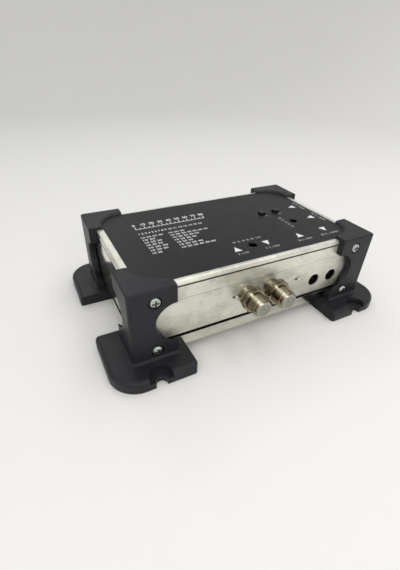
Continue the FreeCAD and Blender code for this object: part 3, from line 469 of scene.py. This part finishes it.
def socket_nickel():
    """Warm nickel, worn bright at the nose, with painted streaks of highlight and shade along it, and
    painted shade in the joints round the washer and the nut.
    """
    look = Look("socket_nickel", Metallic=1.0)
    tarnish = look.noise(260, detail=4, roughness=0.6)
    warm = look.mix(look.ramp(tarnish, 0.35, 0.75), nickel_bright, nickel_dull)
    nose = look.ramp(look.along("Y"), nose_face - 0.1 * mm, nose_face + 0.2 * mm, 1.0, 0.0)
    # Painted streaks of highlight and shade along the barrels
    plain = look.mix(nose, streaked(look, warm), nickel_nose)
    # Painted shade in the joints between the barrel, the washer and the nut
    painted_shade = 0.0
    for joint in socket_joints:
        painted_shade = look.larger(painted_shade, look.band("Y", joint - joint_shade, joint + joint_shade, 0.08 * mm))
    look.colour(look.mix(look.times(painted_shade, 0.85), plain, nickel_joint_shade))
    look.roughness(look.ramp(tarnish, 0.3, 0.75, 0.05, 0.12))
    look.rub(depth=0.003 * mm)
    return look.material


def screw_zinc():
    """Bright zinc, with painted shade in the cross recess of each bracket screw."""
    look = Look("screw_zinc", Metallic=1.0)
    tarnish = look.noise(420, detail=4, roughness=0.6)
    plain = look.mix(look.ramp(tarnish, 0.35, 0.75), zinc_bright, zinc_dull)
    side = look.minus(look.unsigned(look.along("X")), screw_side)
    rise = look.minus(look.unsigned(look.minus(look.along("Z"), screw_middle)), screw_rise)
    reach = look.math("SQRT", look.plus(look.times(side, side), look.times(rise, rise)))
    inside = look.ramp(reach, cross_reach, cross_reach + 0.1 * mm, 1.0, 0.0)
    depth = look.minus(-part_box("bracket_screws_front")[0].y, look.unsigned(look.along("Y")))
    deep = look.ramp(depth, cross_start, cross_start + 0.2 * mm)
    # Painted shade deep in the cross recess
    look.colour(look.mix(look.times(inside, deep), plain, zinc_recess_shade))
    look.roughness(look.ramp(tarnish, 0.3, 0.75, 0.22, 0.36))
    look.rub(depth=0.004 * mm)
    return look.material


def ink(name, full, thin):
    """Screen print with a slightly uneven cover and gloss."""
    look = Look(name)
    cover = look.noise(900, detail=3, roughness=0.6)
    look.colour(look.mix(look.ramp(cover, 0.35, 0.7), full, thin))
    look.roughness(look.ramp(cover, 0.3, 0.7, 0.45, 0.6))
    look.bump(cover, depth=0.004 * mm)
    return look.material


def circuit_board():
    """Dark green resist, lighter along a net of tracks."""
    look = Look("circuit_board", Coat_Weight=0.3)
    tracks = look.cell_borders(420)
    look.colour(look.mix(look.ramp(tracks, 0.02, 0.05), board_track, board_resist))
    look.roughness(look.ramp(tracks, 0.02, 0.06, 0.3, 0.45))
    look.bump(look.ramp(tracks, 0.02, 0.08), depth=0.01 * mm)
    return look.material


slot_materials = {
    "tinned_steel": tinned_steel(),
    "label_black": label_film(),
    "screw_zinc": screw_zinc(),
    "socket_nickel": socket_nickel(),
    "circuit_board": circuit_board(),
}
for slot_name, values in moulded_slots.items():
    slot_materials[slot_name] = moulded(slot_name, *values)
for slot_name, values in plated_slots.items():
    slot_materials[slot_name] = plated(slot_name, *values)

solder = plated("solder", tone(0.86, 0.86, 0.84), tone(0.72, 0.72, 0.70), 0.10, 700)
# Contacts darkened as painted shade: the power jacks' pins and springs nearly black inside their holes, the
# aerial contacts darker than contact metal in their bores
shaded_power_contact = plated("shaded_power_contact", tone(0.035, 0.028, 0.022), tone(0.02, 0.016, 0.014), 0.5)
shaded_aerial_contact = plated("shaded_aerial_contact", tone(0.30, 0.25, 0.17), tone(0.20, 0.16, 0.11), 0.35)
white_ink = ink("white_ink", tone(0.80, 0.81, 0.81), tone(0.68, 0.69, 0.69))
thin_ink = ink("thin_ink", tone(0.42, 0.43, 0.44), tone(0.28, 0.29, 0.30))

special_materials = {
    "dc_in_pin": shaded_power_contact,
    "dc_out_pin": shaded_power_contact,
    "dc_in_spring": shaded_power_contact,
    "dc_out_spring": shaded_power_contact,
    "rf_in_contact": shaded_aerial_contact,
    "rf_out_contact": shaded_aerial_contact,
}


# Solids

def dress_nodes():
    """Gives each CAD node the material of its slot, or its own."""
    for row in frame["record"]["subparts"]:
        name = row["node"]
        materials = nodes[name].data.materials
        materials.clear()
        materials.append(special_materials.get(name, slot_materials[row["material_slot"]]))


def soften(node):
    """Welds a node's mesh for display and rounds its sharp edges, without touching the mesh itself."""
    weld = node.modifiers.new("weld", "WELD")
    weld.merge_threshold = weld_distance
    flat = node.modifiers.new("flat", "DECIMATE")
    flat.decimate_type = "DISSOLVE"
    flat.angle_limit = flat_angle
    bevel = node.modifiers.new("edge", "BEVEL")
    bevel.width = edge_width
    bevel.segments = edge_segments
    bevel.limit_method = "ANGLE"
    bevel.angle_limit = edge_angle
    bevel.use_clamp_overlap = False
    bevel.harden_normals = True
    bevel.miter_outer = "MITER_ARC"


def soften_sockets():
    for name in aerials:
        for part in ("_barrel", "_nut", "_washer"):
            soften(nodes[name + part])


# Pieces on the solids

def mesh_of(shapes, name):
    """Turns a bmesh into a mesh."""
    mesh = bpy.data.meshes.new(name)
    shapes.to_mesh(mesh)
    shapes.free()
    return mesh


def add_piece(shapes, name, material):
    """Puts a bmesh into the scene as a piece of the fixed body."""
    mesh = mesh_of(shapes, name)
    mesh.materials.append(material)
    piece = bpy.data.objects.new(name, mesh)
    bpy.context.scene.collection.objects.link(piece)
    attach(piece, "root")


def circle(facets):
    """The cosine and sine of each corner of a regular polygon."""
    angles = [math.tau * k / facets for k in range(facets)]
    return [(math.cos(angle), math.sin(angle)) for angle in angles]


def turned(centre_x, loops, flat_bands=0):
    """A closed body round an aerial socket's axis, from loops of (radius, y), one pair for each facet.
    All bands between the loops are smoothed but the last few."""
    body = bmesh.new()
    corners = []
    for loop in loops:
        corners.append([body.verts.new((centre_x + radius * cosine, y, aerial_height + radius * sine))
                        for (radius, y), (cosine, sine) in zip(loop, circle(len(loop)))])
    for row, (first, second) in enumerate(zip(corners, corners[1:] + corners[:1])):
        for k in range(len(first)):
            following = (k + 1) % len(first)
            face = body.faces.new((first[k], first[following], second[following], second[k]))
            face.smooth = row < len(corners) - flat_bands
    bmesh.ops.recalc_face_normals(body, faces=body.faces)
    return body


def thread_radius(distance, angle):
    """Radius of a thread with rounded crests and roots, fading out at both ends."""
    turn = distance / thread_pitch - angle / math.tau
    wave = 0.5 - 0.5 * math.cos(math.tau * turn)
    length = thread_start - thread_end
    fade = min(1.0, distance / thread_pitch, (length - distance) / thread_pitch)
    return thread_root + thread_depth * wave * max(fade, 0.0)


def thread(name, centre_x):
    """The thread on an aerial socket's front: a closed sleeve round the barrel, smoothed only outside."""
    length = thread_start - thread_end
    rows = round(length / thread_pitch * thread_rows)
    loops = []
    for row in range(rows + 1):
        distance = length * row / rows
        loops.append([(thread_radius(distance, math.tau * k / thread_facets), thread_start - distance)
                      for k in range(thread_facets)])
    loops.append([(thread_inside, thread_end)] * thread_facets)
    loops.append([(thread_inside, thread_start)] * thread_facets)
    add_piece(turned(centre_x, loops, flat_bands=3), name, slot_materials["socket_nickel"])


def ring(name, centre_x, section, slot):
    """A ring round an aerial socket's axis, from its section of (radius, y) in millimetres."""
    loops = [[(radius * mm, y * mm)] * ring_facets for radius, y in section]
    add_piece(turned(centre_x, loops), name, slot_materials[slot])


def socket_details():
    """Thread, rim of the nose and rim of the contact's entry on both aerial sockets."""
    for name, centre_x in aerials.items():
        thread(name + "_thread", centre_x)
        ring(name + "_rim", centre_x, face_ring, "socket_nickel")
        ring(name + "_entry", centre_x, entry_ring, "socket_insulator")


def solder_beads():
    """A small uneven mound of solder on each folded end of the shield."""
    beads = bmesh.new()
    for centre_x in tab_ends:
        ball = bmesh.ops.create_icosphere(beads, subdivisions=4, radius=1.0)
        for vertex in ball["verts"]:
            x, y, z = vertex.co
            swell = 1 + 0.10 * math.sin(3 * x + 2 * z + 900 * centre_x) + 0.06 * math.cos(5 * z - 2 * y)
            vertex.co = (centre_x + x * swell * bead_size[0],
                         tab_face + y * swell * bead_size[1],
                         tab_height + z * swell * bead_size[2])
    for face in beads.faces:
        face.smooth = True
    add_piece(beads, "shield_solder", solder)


# Print on the label

def plates(outlines):
    """Thin plates on the label, from outlines of (x, y) points in millimetres."""
    shapes = bmesh.new()
    for outline in outlines:
        low, high = ([shapes.verts.new((x * mm, y * mm, z)) for x, y in outline]
                     for z in (label_top, label_top + ink_thick))
        shapes.faces.new(high)
        shapes.faces.new(low[::-1])
        for k in range(len(outline)):
            following = (k + 1) % len(outline)
            shapes.faces.new((low[k], low[following], high[following], high[k]))
    return shapes


def arrow(tip, direction):
    """A triangle, from its tip and the direction in which it points."""
    (tip_x, tip_y), (dx, dy) = tip, direction
    base_x, base_y = tip_x - dx * arrow_height, tip_y - dy * arrow_height
    side_x, side_y = -dy * arrow_base / 2, dx * arrow_base / 2
    return [tip, (base_x + side_x, base_y + side_y), (base_x - side_x, base_y - side_y)]


def bar(centre_x, centre_y, length, height):
    """A rectangle along x, from its middle and its two sizes."""
    x, y = length / 2, height / 2
    return [(centre_x - x, centre_y - y), (centre_x + x, centre_y - y),
            (centre_x + x, centre_y + y), (centre_x - x, centre_y + y)]


def counting(first, last, step=1):
    """A row of numbers."""
    return " ".join(str(number) for number in range(first, last + 1, step))


def add_figures(shapes, text, x, y, length, height, turn=0.0):
    """Adds a row of figures: its lower left corner at (x, y), stretched to the given length."""
    curve = bpy.data.curves.new("figures", "FONT")
    curve.body = text
    curve.size = height * mm / figure_cap
    curve.resolution_u = figure_steps
    curve.extrude = ink_thick / 2
    curve.offset = height * mm * figure_weight
    holder = bpy.data.objects.new("figures", curve)
    mesh = bpy.data.meshes.new_from_object(holder)
    width = max(vertex.co.x for vertex in mesh.vertices)
    place = Matrix.Translation((x * mm, y * mm, label_top + ink_thick / 2))
    stretch = Matrix.Diagonal((length * mm / width, 1, 1, 1))
    mesh.transform(place @ Matrix.Rotation(turn, 4, "Z") @ stretch)
    shapes.from_mesh(mesh)
    bpy.data.meshes.remove(mesh)
    bpy.data.objects.remove(holder)
    bpy.data.curves.remove(curve)


def arrows():
    """The triangles beside the sockets."""
    add_piece(plates(arrow(tip, direction) for tip, direction in arrow_tips),
              "label_arrows", white_ink)


def rule():
    """A plain measuring rule in the upper left of the label."""
    step = (rule_end - rule_start) / rule_steps
    lines = [bar((rule_start + rule_end) / 2, rule_height, rule_end - rule_start + rule_overhang, rule_line)]
    for index in range(2 * rule_steps + 1):
        tall = tall_tick if index % 2 == 0 else short_tick
        lines.append(bar(rule_start + index * step / 2, rule_height + tall / 2, tick_width, tall))
    add_piece(plates(lines), "label_rule", white_ink)
    figures = bmesh.new()
    for index in range(rule_steps + 1):
        text = str(10 * index)
        length = digit_room * len(text)
        start = rule_start + index * step - length / 2
        add_figures(figures, text, start, rule_height + figures_above, length, scale_figures)
    add_piece(figures, "label_rule_figures", white_ink)


def figure_rows():
    """Plain rows of figures in the left half of the label: one line, and a table of two columns."""
    figures = bmesh.new()
    add_figures(figures, counting(1, 16), line_start, line_height, line_length, line_figures)
    for row, lengths in enumerate(table_lengths):
        y = table_top - row * table_pitch
        for start, length in zip(table_columns, lengths):
            count = round(length / number_room)
            add_figures(figures, counting(10, 10 * count, 10), start, y, length, small_figures)
    add_piece(figures, "label_table_figures", white_ink)


def socket_figures():
    """Figures beside the arrows and scales beside the trimmers."""
    rows = (                 # text, x, y, length
        ("1-10", -9.7, -29.6, 6.2),
        ("11-20", 5.6, -30.0, 8.5),
        ("21-30", 25.4, -30.1, 9.3),
        ("31-40", 40.7, -29.9, 11.9),
        (counting(0, 10, 2), -5.8, -19.0, 16.3),
    )
    columns = (              # the same, turned to read from the right
        (counting(0, 8, 2), 33.4, -3.0, 12.6),
        ("41-50", 55.8, -4.6, 11.3),
        ("51-60", 55.7, 11.8, 10.5),
    )
    figures = bmesh.new()
    for text, x, y, length in rows:
        add_figures(figures, text, x, y, length, small_figures)
    for text, x, y, length in columns:
        add_figures(figures, text, x, y, length, small_figures, math.radians(-90))
    add_piece(figures, "label_socket_figures", thin_ink)


def button_signs():
    """A minus and a plus beside the buttons."""
    signs = [bar(29.0, 2.1, 1.9, rule_line), bar(38.5, 1.8, 1.7, rule_line), bar(38.5, 1.8, rule_line, 1.7)]
    add_piece(plates(signs), "label_signs", thin_ink)


# Stage, light and camera

def studio_paint():
    """Matt white paint, with painted shade making it a little greyer towards the back."""
    look = Look("sweep_paint", Roughness=0.9, Specular_IOR_Level=0.1)
    look.colour(look.mix(look.ramp(look.along("Y"), 0.05, 0.65), sweep_near, sweep_far))
    return look.material


def sweep_outline():
    """Radius and height of the sweep, from the floor up the wall."""
    outline = [(flat_radius * share, 0.0) for share in flat_shares]
    for step in range(1, bend_steps + 1):
        angle = math.radians(90) * step / bend_steps
        outline.append((flat_radius + bend_radius * math.sin(angle), bend_radius * (1 - math.cos(angle))))
    outline.append((flat_radius + bend_radius, wall_height))
    return outline


def sweep():
    """A round studio sweep: a flat floor that curves up into a wall, so that no horizon shows."""
    shell = bmesh.new()
    middle = shell.verts.new((0, 0, 0))
    loops = [[shell.verts.new((radius * cosine, radius * sine, z)) for cosine, sine in circle(sweep_facets)]
             for radius, z in sweep_outline()]
    for k in range(sweep_facets):
        following = (k + 1) % sweep_facets
        shell.faces.new((middle, loops[0][k], loops[0][following]))
        for inner, outer in zip(loops, loops[1:]):
            shell.faces.new((inner[k], outer[k], outer[following], inner[following]))
    for face in shell.faces:
        face.smooth = True
    mesh = mesh_of(shell, "sweep")
    mesh.materials.append(studio_paint())
    stage = bpy.data.objects.new("sweep", mesh)
    bpy.context.scene.collection.objects.link(stage)


def lamp(name, place, size, watts, colour):
    """A soft rectangular lamp at a place, turned to the modulator."""
    data = bpy.data.lights.new(name, "AREA")
    data.shape = "RECTANGLE"
    data.size, data.size_y = size
    data.energy = watts
    data.color = colour
    placed = bpy.data.objects.new(name, data)
    placed.location = place
    placed.rotation_euler = (Vector(lamp_aim) - placed.location).to_track_quat("-Z", "Y").to_euler()
    placed.visible_camera = False
    bpy.context.scene.collection.objects.link(placed)


def dome():
    """A soft white dome, brighter over the back than over the front."""
    world = bpy.data.worlds.new("studio")
    bpy.context.scene.world = world
    world.use_nodes = True
    graph = Graph(world.node_tree, "Generated")
    background = graph.tree.nodes["Background"]
    background.inputs["Color"].default_value = sky
    level = graph.ramp(graph.along("Y"), -0.5, 0.5, dome_front, dome_back)
    graph.feed(background.inputs["Strength"], level)


def camera():
    """The camera solved from the photograph: place, turn and focal length."""
    forward = Vector((-math.sin(camera_yaw) * math.cos(camera_pitch),
                      math.cos(camera_yaw) * math.cos(camera_pitch),
                      math.sin(camera_pitch)))
    level = Vector((math.cos(camera_yaw), math.sin(camera_yaw), 0.0))
    upright = level.cross(forward)
    right = level * math.cos(camera_roll) + upright * math.sin(camera_roll)
    up = upright * math.cos(camera_roll) - level * math.sin(camera_roll)
    data = bpy.data.cameras.new("camera")
    data.sensor_width = sensor_width
    data.lens = focal_pixels * sensor_width / frame_height_pixels
    data.clip_start = nearest_seen
    placed = bpy.data.objects.new("camera", data)
    turn = Matrix((right, up, -forward)).transposed()
    placed.matrix_world = Matrix.Translation(camera_place) @ turn.to_4x4()
    bpy.context.scene.collection.objects.link(placed)
    bpy.context.scene.camera = placed


dress_nodes()
soften_sockets()
socket_details()
solder_beads()
arrows()
rule()
figure_rows()
socket_figures()
button_signs()
sweep()
dome()
for values in lamps:
    lamp(*values)
camera()
bpy.context.scene.view_settings.view_transform = "Standard"
